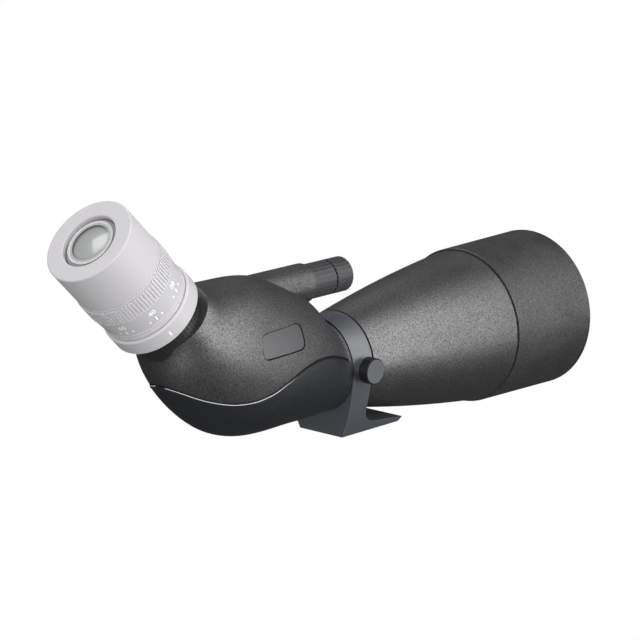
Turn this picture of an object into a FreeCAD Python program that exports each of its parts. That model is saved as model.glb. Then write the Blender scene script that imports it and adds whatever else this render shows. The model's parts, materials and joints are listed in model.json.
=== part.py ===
import FreeCAD, Part
import math
import os

import Sketcher
from FreeCAD import Placement, Rotation, Vector

# Angled spotting scope, millimetres and degrees.
# X runs forward along the optical axis, Z is up, and the origin is the mouth of the
# tripod thread, in the middle of the foot's base.

SIZES = {
    # Tripod collar and foot
    "axis_height": 40.3,           # foot base to optical axis
    "collar_rear_x": -25.2,
    "collar_length": 15.2,
    "collar_rear_radius": 26.2,
    "collar_front_radius": 27.6,
    "edge_break": 0.5,             # small chamfer on the collar's, barrel's and hood's rims
    "seam_gap": 0.7,               # dark line on each side of the collar
    "foot_length": 46.8,
    "foot_half_width": 16.0,
    "foot_edge_height": 2.7,
    "foot_edge_reach": 2.5,        # how far the front edge leans forward
    "foot_plate_height": 5.3,      # plate top where the neck's fillet starts
    "foot_fillet": 11.0,
    "foot_rear_lean": 1.8,
    "foot_flank_radius": 100.0,
    "foot_flank_height": 36.0,
    "foot_flank_half_width": 26.2,
    "thread_bore_radius": 3.175,
    "insert_wall": 0.75,
    "insert_length": 5.0,
    # Rotating track inside the collar
    "track_radius": 22.0,
    "track_bore": 19.5,
    "liner_thickness": 1.5,
    "liner_inset": 1.0,
    "running_clearance": 0.05,
    "seat_clearance": 0.02,
    # Lock knob
    "lock_knob_x": -17.6,
    "lock_knob_face_y": 36.2,
    "lock_knob_length": 6.4,
    "lock_knob_radius": 7.4,
    "lock_cap_radius": 6.6,
    "lock_cap_depth": 0.8,
    "lock_knurl_count": 40,
    "lock_knurl_depth": 0.45,
    "lock_knurl_width": 0.6,
    "lock_screw_radius": 2.0,
    "lock_boss_radius": 4.6,
    "lock_boss_gap": 0.4,
    "shoe_length": 1.2,
    "shoe_travel": 0.6,
    # Barrel
    "barrel_rear_radius": 27.8,
    "barrel_front_x": 96.3,
    "barrel_front_radius": 44.3,
    "barrel_curve": 1000.0,
    "barrel_wall": 3.0,
    "barrel_floor": 4.0,
    "neck_rear_x": -34.0,
    "neck_nut_length": 4.0,
    "neck_nut_wall": 1.5,
    # Objective cell and lenses
    "cell_spigot_length": 10.0,
    "cell_spigot_inset": 3.9,      # inside the barrel's front edge
    "cell_spigot_step": 2.0,       # inside the cell's tube
    "cell_slide_gap": 0.6,         # between the cell's tube and the hood
    "cell_wall": 3.5,
    "cell_front_x": 150.0,
    "lens_step": 1.0,              # shoulder that the rear lens sits on
    "lens_seat_x": 124.0,
    "rear_lens_edge": 4.5,
    "lens_spacer": 1.0,
    "front_lens_edge": 6.5,
    "front_lens_curve": 230.0,
    "lens_ring_length": 3.5,
    "lens_ring_width": 1.8,
    "lens_ring_seat": 0.35,        # the ring bears on the lens's domed face
    "friction_ring_width": 1.6,
    "friction_ring_depth": 1.0,
    "friction_ring_rear_x": 134.0,
    "friction_ring_spacing": 9.0,
    "baffle_count": 3,
    "baffle_thickness": 1.0,
    "baffle_first_x": 20.0,
    "baffle_spacing": 26.0,
    "baffle_depth": 3.0,
    # Sliding hood
    "hood_gap": 0.6,
    "hood_front_x": 161.5,
    "hood_wall": 2.5,
    "hood_rear_radius": 45.5,
    "hood_front_radius": 46.5,
    "hood_lip": 0.8,
    # Prism housing: a bent tube whose sections fan round a line above the collar
    "fan_height": 171.0,           # fan line above the optical axis
    "housing_wall": 2.2,
    "mouth_depth": 5.5,            # eyepiece rim down to the housing's cut-off mouth
    "mouth_wall": 4.0,
    "cover_proud": 0.5,
    "flange_thickness": 4.0,
    "bend_angle": 45.0,
    # Name plate recess, left bare
    "plate_x": -86.8,
    "plate_height": 69.3,
    "plate_length": 34.0,
    "plate_width": 14.5,
    "plate_corner": 4.2,
    "plate_tilt": 1.5,
    "plate_recess": 0.5,
    "plate_gap": 0.5,              # dark groove round the plate
    "plate_thickness": 0.8,
    # Focus drive
    "focus_rise": 48.3,            # focus shaft above the optical axis
    "focus_tube_radius": 11.1,
    "focus_tube_bore": 8.0,
    "focus_tube_front_x": -38.2,
    "focus_tube_length": 46.0,
    "coarse_length": 18.0,
    "knob_gap": 0.8,
    "fine_length": 12.8,
    "knob_radius": 9.9,
    "knob_core_radius": 7.4,
    "knob_rib_count": 24,
    "knob_rib_depth": 0.8,
    "knob_rib_groove": 0.9,
    "knob_cap": 1.0,
    "bushing_length": 14.0,
    "lead_screw_radius": 4.0,
    "lead_screw_length": 56.0,
    "fine_shaft_radius": 2.4,
    # Focus carriage
    "carriage_x": -72.0,           # middle of the carriage at infinity
    "carriage_length": 8.0,
    "carriage_cell_radius": 17.5,
    "carriage_nut_radius": 7.2,
    "carriage_arm_half_width": 4.0,
    "focus_lens_radius": 15.0,
    "focus_lens_edge": 3.0,
    "focus_lens_curve": 60.0,
    "rod_offset": 20.5,
    "rod_radius": 1.5,
    "rod_ear_height": 3.0,
    # Roof prism and its bulkhead
    "prism_reach": 13.0,           # apex above the optical axis
    "prism_half_width": 11.0,
    "prism_corner": 6.5,
    "roof_half_angle": 22.5,
    "bulkhead_thickness": 2.5,
    "bulkhead_clearance": 0.3,
    "bulkhead_aperture": 10.8,
    "mask_thickness": 0.6,
    "mask_opening": 10.0,
    "cheek_thickness": 3.0,
    "cheek_length": 14.0,
    "cheek_height": 24.0,
    "cheek_screw_radius": 1.0,
    "cheek_screw_length": 7.0,
    "cheek_screw_head": 1.8,
    "cheek_screw_level": 9.6,      # above and below the optical axis
    # Eyepiece, stations measured outward from the housing rim
    "socket_spigot": 6.0,
    "socket_wall": 1.2,
    "socket_length": 3.9,
    "socket_radius": 21.6,
    "socket_rib_count": 60,
    "socket_rib_groove": 0.8,
    "socket_rib_depth": 0.3,
    "tube_radius": 19.0,
    "tube_wall": 2.0,
    "tube_lower_end": 8.0,
    "flange_length": 10.7,
    "eyepiece_radius": 26.2,
    "groove_length": 2.0,
    "groove_depth": 0.8,
    "scale_length": 14.1,
    "scale_band": 1.8,
    "scale_line_width": 0.5,
    "scale_line_depth": 0.4,
    "scale_rear_radius": 24.9,
    "scale_front_radius": 25.9,
    "zoom_gap": 0.3,
    "grip_length": 10.4,
    "grip_thickness": 2.6,
    "grip_rib_count": 84,
    "grip_rib_depth": 0.5,
    "grip_rib_groove": 0.9,
    "line_ring_length": 1.1,
    "line_ring_radius": 25.6,
    "cam_tube_wall": 1.5,
    "cam_tube_start": 12.0,
    "cam_tube_length": 38.0,
    "drive_pin_radius": 1.2,
    "zoom_turn": 85.0,             # each way from the middle of the range
    "slot_overrun": 5.0,           # slot beyond the pin's end of travel, each way
    "group_length": 6.0,
    "group_wall": 2.0,
    "group_curve": 40.0,
    "rear_group_x": 20.0,
    "front_group_x": 38.0,
    "field_stop_x": 6.0,
    "field_stop_length": 1.5,
    "field_stop_opening": 11.0,
    "field_lens_edge": 3.0,
    "field_lens_curve": 55.0,
    "eye_cell_start": 52.0,
    "eye_cell_radius": 18.9,
    "eye_cell_shoulder": 63.6,
    "eye_cell_front": 68.2,
    "eye_nose_radius": 15.4,
    "eye_nose_rim": 13.5,
    "eye_nose_step": 0.7,
    "eye_cell_bore": 11.6,
    "eye_lens_radius": 12.6,
    "eye_lens_edge": 3.4,
    "eye_lens_curve": 60.0,
    "eye_ring_length": 1.6,
    # Twist-up eyecup
    "eyecup_radius": 25.5,
    "eyecup_length": 26.7,
    "eyecup_opening": 15.9,
    "eyecup_lip": 5.2,
    "eyecup_round": 0.8,
    "guide_thickness": 1.3,
    "guide_length": 6.0,
    "guide_start": 1.2,
    "sleeve_thickness": 1.6,
}

# Housing sections at even steps round the bend: distance of the centre from the fan
# line, half height across the bend and half width.
STATIONS = [
    (171.0, 26.4, 26.4),
    (167.4, 31.1, 29.1),
    (164.3, 36.4, 31.9),
    (164.8, 40.1, 33.5),
    (166.4, 43.3, 34.1),
    (167.6, 43.9, 33.9),
    (168.35, 41.05, 33.2),
    (169.6, 35.4, 31.4),
    (170.0, 27.3, 28.0),
    (173.5, 20.5, 20.5),
]

# Seam between upper shell and lower cover, seen from the side, from the rear heel
# forward to the collar.
SEAM = [
    (-170.0, 63.5), (-158.0, 57.3), (-144.9, 49.2), (-129.5, 42.4), (-112.4, 39.4),
    (-97.0, 41.4), (-83.7, 46.9), (-67.9, 52.7), (-54.0, 53.9), (-38.0, 50.6),
    (-20.0, 43.0),
]

for number, (reach, half_height, half_width) in enumerate(STATIONS):
    SIZES[f"section{number}_reach"] = reach
    SIZES[f"section{number}_half_height"] = half_height
    SIZES[f"section{number}_half_width"] = half_width
for number, (along, up) in enumerate(SEAM):
    SIZES[f"seam{number}_x"] = along
    SIZES[f"seam{number}_z"] = up

document = FreeCAD.newDocument("spotting_scope")
sheet = document.addObject("Spreadsheet::Sheet", "sizes")


class Size:
    """A number together with the spreadsheet formula that gives it."""

    def __init__(self, value, formula):
        self.value = value
        self.formula = formula

    def __add__(self, other):
        other = as_size(other)
        return Size(self.value + other.value, f"({self.formula} + {other.formula})")

    def __sub__(self, other):
        other = as_size(other)
        return Size(self.value - other.value, f"({self.formula} - {other.formula})")

    def __mul__(self, other):
        other = as_size(other)
        return Size(self.value * other.value, f"({self.formula} * {other.formula})")

    def __truediv__(self, other):
        other = as_size(other)
        return Size(self.value / other.value, f"({self.formula} / {other.formula})")

    def __neg__(self):
        return Size(-self.value, f"(0 - {self.formula})")


def as_size(number):
    return number if isinstance(number, Size) else Size(float(number), f"({number})")


def lesser(first, second):
    return Size(min(first.value, second.value), f"min({first.formula}; {second.formula})")


def sine(angle):
    return Size(math.sin(math.radians(angle.value)), f"sin({angle.formula} * 1 deg)")


def cosine(angle):
    return Size(math.cos(math.radians(angle.value)), f"cos({angle.formula} * 1 deg)")


class Sheet:
    """The spreadsheet's aliases as attributes."""

    def __init__(self, values):
        for row, (alias, value) in enumerate(values.items(), start=1):
            sheet.set(f"A{row}", alias)
            sheet.set(f"B{row}", str(value))
            sheet.setAlias(f"B{row}", alias)
            setattr(self, alias, Size(float(value), f"sizes.{alias}"))


size = Sheet(SIZES)
document.recompute()
ZERO = as_size(0)
nodes = []


def bind(thing, prop, length):
    thing.setExpression(prop, length.formula)


def keep(thing, label):
    """Mark an object as one of the scope's sub-parts."""
    thing.Label = label
    nodes.append(thing)
    return thing


def place(thing, x=ZERO, y=ZERO, z=ZERO, axis=Vector(0, 1, 0), turn=0.0):
    """Put an object at a sheet-driven point, turned about a fixed axis."""
    spot = Vector(as_size(x).value, as_size(y).value, as_size(z).value)
    thing.Placement = Placement(spot, Rotation(axis, turn))
    bind(thing, "Placement.Base.x", as_size(x))
    bind(thing, "Placement.Base.y", as_size(y))
    bind(thing, "Placement.Base.z", as_size(z))
    return thing


def on_optical_axis(thing):
    return place(thing, z=size.axis_height)


def on_focus_axis(thing):
    return place(thing, z=size.axis_height + size.focus_rise)


def closed_sketch(body, name, role, points, arcs=None):
    """A sketch on one of the body's own planes, every corner tied to the sheet.

    arcs maps an edge's number to its radius and the side it bulges to (1 is left of
    the way the outline runs).
    """
    arcs = arcs or {}
    sketch = body.newObject("Sketcher::SketchObject", name)
    plane = next(f for f in body.Origin.OriginFeatures if f.Role == role)
    sketch.AttachmentSupport = (plane, [""])
    sketch.MapMode = "FlatFace"
    corners = [(as_size(across), as_size(up)) for across, up in points]
    spots = [Vector(across.value, up.value, 0) for across, up in corners]
    ends = []
    for number, start in enumerate(spots):
        finish = spots[(number + 1) % len(spots)]
        if number in arcs:
            radius, side = arcs[number]
            half = (finish - start) * 0.5
            left = Vector(-half.y, half.x, 0).normalize()
            drop = math.sqrt(radius.value ** 2 - half.Length ** 2)
            centre = (start + finish) * 0.5 - left * (side * drop)
            first, second = (start, finish) if side < 0 else (finish, start)
            angles = [math.atan2(end.y - centre.y, end.x - centre.x)
                      for end in (first, second)]
            if angles[1] < angles[0]:
                angles[1] += 2 * math.pi
            circle = Part.Circle(centre, Vector(0, 0, 1), radius.value)
            sketch.addGeometry(Part.ArcOfCircle(circle, *angles), False)
            ends.append((1, 2) if side < 0 else (2, 1))
        else:
            sketch.addGeometry(Part.LineSegment(start, finish), False)
            ends.append((1, 2))
    for number, (across, up) in enumerate(corners):
        before = number - 1 if number else len(corners) - 1
        sketch.addConstraint(Sketcher.Constraint(
            "Coincident", number, ends[number][0], before, ends[before][1]))
        for kind, value in (("DistanceX", across), ("DistanceY", up)):
            row = sketch.addConstraint(Sketcher.Constraint(
                kind, -1, 1, number, ends[number][0], value.value))
            sketch.setExpression(f"Constraints[{row}]", value.formula)
    for number, (radius, _) in arcs.items():
        row = sketch.addConstraint(Sketcher.Constraint("Radius", number, radius.value))
        sketch.setExpression(f"Constraints[{row}]", radius.formula)
    return sketch


def revolved(name, points, arcs=None, seat=on_optical_axis):
    """A turned piece: its outline (station, radius) spun round its own X axis."""
    body = document.addObject("PartDesign::Body", name)
    outline = closed_sketch(body, name + "_outline", "XZ_Plane", points, arcs)
    turned = body.newObject("PartDesign::Revolution", name + "_turned")
    turned.Profile = outline
    turned.ReferenceAxis = (outline, ["H_Axis"])
    turned.Angle = 360
    body.Tip = turned
    return seat(body)


def padded(name, role, points, length, arcs=None):
    """A flat outline thickened evenly to both sides of one of its own planes."""
    body = document.addObject("PartDesign::Body", name)
    outline = closed_sketch(body, name + "_outline", role, points, arcs)
    pad = body.newObject("PartDesign::Pad", name + "_pad")
    pad.Profile = outline
    pad.Midplane = True
    pad.Length = length.value
    bind(pad, "Length", length)
    body.Tip = pad
    return body


def grooved(body, count, width, depth, radius):
    """Cut evenly spaced grooves along a turned piece, which leaves its ribs."""
    outline = closed_sketch(body, body.Name + "_groove", "YZ_Plane", [
        (radius - depth, -width / 2), (radius + depth, -width / 2),
        (radius + depth, width / 2), (radius - depth, width / 2)])
    plain = body.Shape.Volume
    groove = body.newObject("PartDesign::Pocket", body.Name + "_cut")
    groove.Profile = outline
    groove.Type = "ThroughAll"
    groove.Midplane = True
    document.recompute()
    if body.Shape.Volume >= plain:
        raise RuntimeError(body.Name + ": groove cuts nothing")
    ring = body.newObject("PartDesign::PolarPattern", body.Name + "_ribs")
    ring.Originals = [groove]
    spin = next(f for f in body.Origin.OriginFeatures if f.Role == "X_Axis")
    ring.Axis = (spin, [""])
    ring.Angle = 360
    ring.Occurrences = int(count.value)
    bind(ring, "Occurrences", count)
    body.Tip = ring
    return body


def rod(name, radius, length, x=ZERO, y=ZERO, z=ZERO, along="x"):
    """A plain cylinder that starts at a point and runs along one axis."""
    bar = document.addObject("Part::Cylinder", name)
    bind(bar, "Radius", as_size(radius))
    bind(bar, "Height", as_size(length))
    axis, turn = {
        "x": (Vector(0, 1, 0), 90),
        "y": (Vector(1, 0, 0), -90),
        "-y": (Vector(1, 0, 0), 90),
        "z": (Vector(0, 0, 1), 0),
    }[along]
    return place(bar, x, y, z, axis, turn)


def block(name, length, width, height, x, y, z):
    """A box from its corner with the lowest x, y and z."""
    box = document.addObject("Part::Box", name)
    bind(box, "Length", as_size(length))
    bind(box, "Width", as_size(width))
    bind(box, "Height", as_size(height))
    return place(box, x, y, z)


def cut(name, base, tool):
    result = document.addObject("Part::Cut", name)
    result.Base = base
    result.Tool = tool
    return result


def fuse(name, *shapes):
    result = document.addObject("Part::MultiFuse", name)
    result.Shapes = list(shapes)
    return result


def common(name, *shapes):
    result = document.addObject("Part::MultiCommon", name)
    result.Shapes = list(shapes)
    return result


def group(name, pieces):
    result = document.addObject("Part::Compound", name)
    result.Links = pieces
    return result


def ring(start, length, inner, outer):
    """Outline of a plain ring."""
    return [(start, inner), (start + length, inner), (start + length, outer), (start, outer)]


# ---------------------------------------------------------------- tripod collar and foot

collar_front_x = size.collar_rear_x + size.collar_length
collar_bore = size.track_radius + size.running_clearance + size.liner_thickness
half_foot = size.foot_length / 2


def build_collar():
    band = revolved("collar_band", [
        (size.collar_rear_x, 0), (collar_front_x, 0),
        (collar_front_x, size.collar_front_radius - size.edge_break),
        (collar_front_x - size.edge_break, size.collar_front_radius),
        (size.collar_rear_x + size.edge_break, size.collar_rear_radius),
        (size.collar_rear_x, size.collar_rear_radius - size.edge_break)])
    side = padded("foot_side", "XZ_Plane", [
        (-half_foot, 0), (half_foot, 0),
        (half_foot + size.foot_edge_reach, size.foot_edge_height),
        (collar_front_x + size.foot_fillet, size.foot_plate_height),
        (collar_front_x, size.foot_plate_height + size.foot_fillet),
        (collar_front_x, size.axis_height),
        (size.collar_rear_x, size.axis_height),
        (-half_foot - size.foot_rear_lean, size.foot_flank_height)],
        size.foot_flank_half_width * 2, {3: (size.foot_fillet, 1)})
    face = padded("foot_face", "YZ_Plane", [
        (-size.foot_half_width, 0), (size.foot_half_width, 0),
        (size.foot_flank_half_width, size.foot_flank_height),
        (-size.foot_flank_half_width, size.foot_flank_height)],
        size.foot_length * 2, {1: (size.foot_flank_radius, -1), 3: (size.foot_flank_radius, -1)})
    bore = rod("collar_bore", collar_bore, size.foot_length * 2, -size.foot_length,
               z=size.axis_height)
    boss = rod("lock_boss", size.lock_boss_radius, boss_face, size.lock_knob_x,
               ZERO, size.axis_height, "-y")
    screw_hole = rod("lock_screw_hole", size.lock_screw_radius + size.running_clearance,
                     size.lock_knob_face_y, size.lock_knob_x, ZERO, size.axis_height, "-y")
    insert_hole = rod("insert_hole", insert_radius, size.insert_length, along="z")
    solid = cut("collar_bored", fuse("collar_blank", band, boss, common("foot", side, face)),
                bore)
    keep(cut("tripod_collar", solid, fuse("collar_holes", screw_hole, insert_hole)),
         "tripod_collar")


boss_face = size.lock_knob_face_y - size.lock_knob_length - size.lock_boss_gap
insert_radius = size.thread_bore_radius + size.insert_wall


def build_thread_insert():
    sleeve = rod("insert_sleeve", insert_radius - size.seat_clearance, size.insert_length,
                 along="z")
    thread = rod("insert_thread", size.thread_bore_radius, size.insert_length, along="z")
    keep(cut("thread_insert", sleeve, thread), "thread_insert")


def build_liner():
    sleeve = revolved("liner_sleeve", ring(
        size.collar_rear_x + size.liner_inset, size.collar_length - size.liner_inset * 2,
        size.track_radius + size.running_clearance, collar_bore - size.seat_clearance))
    window = rod("liner_window", shoe_radius + size.running_clearance, size.lock_knob_face_y,
                 size.lock_knob_x, ZERO, size.axis_height, "-y")
    keep(cut("collar_liner", sleeve, window), "collar_liner")


shoe_radius = size.lock_screw_radius
shoe_start = size.track_radius + size.running_clearance


def build_lock_shoe():
    keep(rod("lock_shoe", shoe_radius, size.shoe_length, size.lock_knob_x, -shoe_start,
             size.axis_height, "-y"), "lock_shoe")


def on_lock_axis(thing):
    """Seat a turned piece so that its X axis points out of the collar's side."""
    return place(thing, size.lock_knob_x, ZERO, size.axis_height, Vector(0, 0, 1), -90)


def build_lock_knob():
    back = size.lock_knob_face_y - size.lock_knob_length
    knob = revolved("lock_knob", [
        (back, size.lock_screw_radius), (size.lock_knob_face_y - size.lock_cap_depth,
                                         size.lock_screw_radius),
        (size.lock_knob_face_y - size.lock_cap_depth, size.lock_cap_radius),
        (size.lock_knob_face_y - size.lock_cap_depth / 2, size.lock_cap_radius),
        (size.lock_knob_face_y - size.lock_cap_depth / 2, size.lock_knob_radius),
        (back, size.lock_knob_radius)], seat=on_lock_axis)
    document.recompute()
    keep(grooved(knob, size.lock_knurl_count, size.lock_knurl_width, size.lock_knurl_depth,
                 size.lock_knob_radius), "lock_knob")
    keep(revolved("lock_knob_cap", [
        (size.lock_knob_face_y - size.lock_cap_depth, 0),
        (size.lock_knob_face_y, 0), (size.lock_knob_face_y, size.lock_cap_radius),
        (size.lock_knob_face_y - size.lock_cap_depth,
         size.lock_cap_radius - size.seat_clearance)], seat=on_lock_axis), "lock_knob_cap")
    start = shoe_start + size.shoe_length + size.shoe_travel
    keep(rod("lock_screw", size.lock_screw_radius - size.seat_clearance,
             size.lock_knob_face_y - size.lock_cap_depth - start,
             size.lock_knob_x, -start, size.axis_height, "-y"), "lock_screw")


# --------------------------------------------------------------------- barrel and hood

barrel_rear_x = collar_front_x + size.seam_gap
cell_rear_x = size.barrel_front_x - size.cell_spigot_length
hood_bore = lesser(size.hood_rear_radius, size.hood_front_radius) - size.hood_wall
cell_tube = hood_bore - size.cell_slide_gap
cell_bore = cell_tube - size.cell_wall
lens_radius = cell_bore + size.lens_step
cell_spigot = lesser(size.barrel_front_radius - size.cell_spigot_inset,
                     cell_tube - size.cell_spigot_step)


def build_barrel():
    wall = size.barrel_wall
    outline = [
        (size.neck_rear_x, size.track_bore), (barrel_rear_x + size.barrel_floor,
                                              size.track_bore),
        (barrel_rear_x + size.barrel_floor, size.barrel_rear_radius - wall),
        (cell_rear_x, cell_spigot - wall / 3),
        (cell_rear_x, cell_spigot),
        (size.barrel_front_x, cell_spigot),
        (size.barrel_front_x, size.barrel_front_radius - size.edge_break),
        (size.barrel_front_x - size.edge_break, size.barrel_front_radius),
        (barrel_rear_x, size.barrel_rear_radius),
        (barrel_rear_x, size.track_radius), (size.neck_rear_x, size.track_radius)]
    keep(revolved("barrel", outline, {7: (size.barrel_curve, -1)}), "barrel")


def build_neck_nut():
    keep(revolved("neck_nut", ring(
        size.neck_rear_x, size.neck_nut_length, size.track_radius + size.seat_clearance,
        size.track_radius + size.neck_nut_wall)), "neck_nut")


def baffle_edge(station):
    """Inner radius of the barrel's cone at a station along it."""
    rise = (cell_spigot - size.barrel_rear_radius) + size.barrel_wall * 2 / 3
    run = cell_rear_x - barrel_rear_x - size.barrel_floor
    return (size.barrel_rear_radius - size.barrel_wall
            + rise * (station - barrel_rear_x - size.barrel_floor) / run)


def build_baffles():
    rings = []
    for number in range(int(size.baffle_count.value)):
        start = size.baffle_first_x + size.baffle_spacing * number
        edge = baffle_edge(start) - size.seat_clearance
        rings.append(revolved(f"baffle_{number + 1}", ring(
            start, size.baffle_thickness, edge - size.baffle_depth, edge)))
    keep(group("barrel_baffles", rings), "barrel_baffles")


rear_lens_front = size.lens_seat_x + size.rear_lens_edge
front_lens_rear = rear_lens_front + size.lens_spacer
front_lens_front = front_lens_rear + size.front_lens_edge
ring_depth_radius = hood_bore - size.running_clearance - size.friction_ring_depth
pocket_radius = lens_radius + size.seat_clearance


def build_objective_cell():
    first = size.friction_ring_rear_x
    second = first + size.friction_ring_spacing
    outline = [
        (cell_rear_x, cell_bore), (size.lens_seat_x, cell_bore),
        (size.lens_seat_x, pocket_radius), (size.cell_front_x, pocket_radius),
        (size.cell_front_x, cell_tube)]
    for start in (second, first):
        outline += [
            (start + size.friction_ring_width, cell_tube),
            (start + size.friction_ring_width, ring_depth_radius),
            (start, ring_depth_radius), (start, cell_tube)]
    outline += [
        (size.barrel_front_x, cell_tube),
        (size.barrel_front_x, cell_spigot - size.seat_clearance),
        (cell_rear_x, cell_spigot - size.seat_clearance)]
    keep(revolved("objective_cell", outline), "objective_cell")


def build_objective_lenses():
    keep(revolved("objective_rear_lens", [
        (size.lens_seat_x, 0), (rear_lens_front, 0), (rear_lens_front, lens_radius),
        (size.lens_seat_x, lens_radius)]), "objective_rear_lens")
    keep(revolved("objective_spacer", ring(
        rear_lens_front, size.lens_spacer, lens_radius - size.lens_ring_width,
        lens_radius)), "objective_spacer")
    bulge = lens_bulge(lens_radius, size.front_lens_curve)
    keep(revolved("objective_front_lens", [
        (front_lens_rear, 0), (front_lens_front + bulge, 0),
        (front_lens_front, lens_radius), (front_lens_rear, lens_radius)],
        {1: (size.front_lens_curve, -1)}), "objective_front_lens")
    keep(revolved("objective_retaining_ring", ring(
        front_lens_front + size.lens_ring_seat, size.lens_ring_length,
        lens_radius - size.lens_ring_width, lens_radius)), "objective_retaining_ring")


def lens_bulge(radius, curve):
    """How far a spherical face stands out at its middle."""
    flat = math.sqrt(curve.value ** 2 - radius.value ** 2)
    formula = f"({curve.formula} - sqrt({curve.formula} ^ 2 - {radius.formula} ^ 2))"
    return Size(curve.value - flat, formula)


def build_friction_rings():
    rings = []
    for number in range(2):
        start = size.friction_ring_rear_x + size.friction_ring_spacing * number
        rings.append(revolved(f"friction_ring_{number + 1}", ring(
            start, size.friction_ring_width, ring_depth_radius + size.seat_clearance,
            hood_bore - size.running_clearance)))
    keep(group("hood_friction_rings", rings), "hood_friction_rings")


def build_hood():
    rear = size.barrel_front_x + size.hood_gap
    keep(revolved("lens_hood", [
        (rear, hood_bore), (size.hood_front_x, hood_bore),
        (size.hood_front_x, size.hood_front_radius - size.hood_lip),
        (size.hood_front_x - size.hood_lip, size.hood_front_radius),
        (rear + size.edge_break, size.hood_rear_radius),
        (rear, size.hood_rear_radius - size.edge_break)]), "lens_hood")


# ------------------------------------------------------------------------ prism housing

fan_x = size.collar_rear_x
fan_z = size.axis_height + size.fan_height
last_section = len(STATIONS) - 1
rim_reach = getattr(size, f"section{last_section}_reach")
rim_x = fan_x - sine(size.bend_angle) * rim_reach
rim_z = fan_z - cosine(size.bend_angle) * rim_reach
housing_front_x = size.collar_rear_x - size.seam_gap
flange_outer = size.collar_rear_radius - size.housing_wall / 2
flange_rear_x = housing_front_x - size.flange_thickness
block_reach = size.foot_length * 2


def housing_form(name, inset):
    """The housing's outer form drawn in by a wall, or swollen by a negative one."""
    wires = []
    for number in range(len(STATIONS)):
        reach = getattr(size, f"section{number}_reach").value
        half_height = getattr(size, f"section{number}_half_height").value - inset.value
        half_width = getattr(size, f"section{number}_half_width").value - inset.value
        fan = math.radians(size.bend_angle.value * number / last_section)
        outward = Vector(-math.sin(fan), 0, -math.cos(fan))
        centre = Vector(fan_x.value, 0, fan_z.value) + outward * reach
        points = []
        for degrees in range(0, 360, 15):
            turn = math.radians(degrees)
            points.append(centre + outward * (half_height * math.cos(turn))
                          + Vector(0, half_width * math.sin(turn), 0))
        curve = Part.BSplineCurve()
        curve.interpolate(points, PeriodicFlag=True)
        wires.append(Part.Wire([curve.toShape()]))
    form = document.addObject("Part::Feature", name)
    form.Shape = Part.makeLoft(wires, True, False)
    return form


def seam_block():
    """Everything below the seam, as a block across the whole width."""
    side = -block_reach.value
    points = []
    for number in range(len(SEAM)):
        along = getattr(size, f"seam{number}_x").value
        up = getattr(size, f"seam{number}_z").value
        points.append(Vector(along, side, up))
    curve = Part.BSplineCurve()
    curve.interpolate(points)
    first, last = points[0], points[-1]
    below = Vector(0, 0, side)
    edges = [
        curve.toShape(), Part.makeLine(last, last + below),
        Part.makeLine(last + below, first + below), Part.makeLine(first + below, first)]
    form = document.addObject("Part::Feature", "seam_block")
    form.Shape = Part.Face(Part.Wire(edges)).extrude(Vector(0, -2 * side, 0))
    return form


def plate_block(name, inset):
    """The name plate's rounded outline drawn in, run across the near side."""
    corner = size.plate_corner - inset
    half = size.plate_length / 2 - size.plate_corner
    high = size.plate_width / 2 - inset
    low = size.plate_width / 2 - size.plate_corner
    outer = size.plate_length / 2 - inset
    body = padded(name, "XZ_Plane", [
        (-half, -high), (half, -high), (outer, -low), (outer, low), (half, high),
        (-half, high), (-outer, low), (-outer, -low)], size.plate_length,
        {1: (corner, -1), 3: (corner, -1), 5: (corner, -1), 7: (corner, -1)})
    return place(body, size.plate_x, -size.plate_length, size.plate_height,
                 Vector(0, 1, 0), -size.plate_tilt.value)


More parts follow.
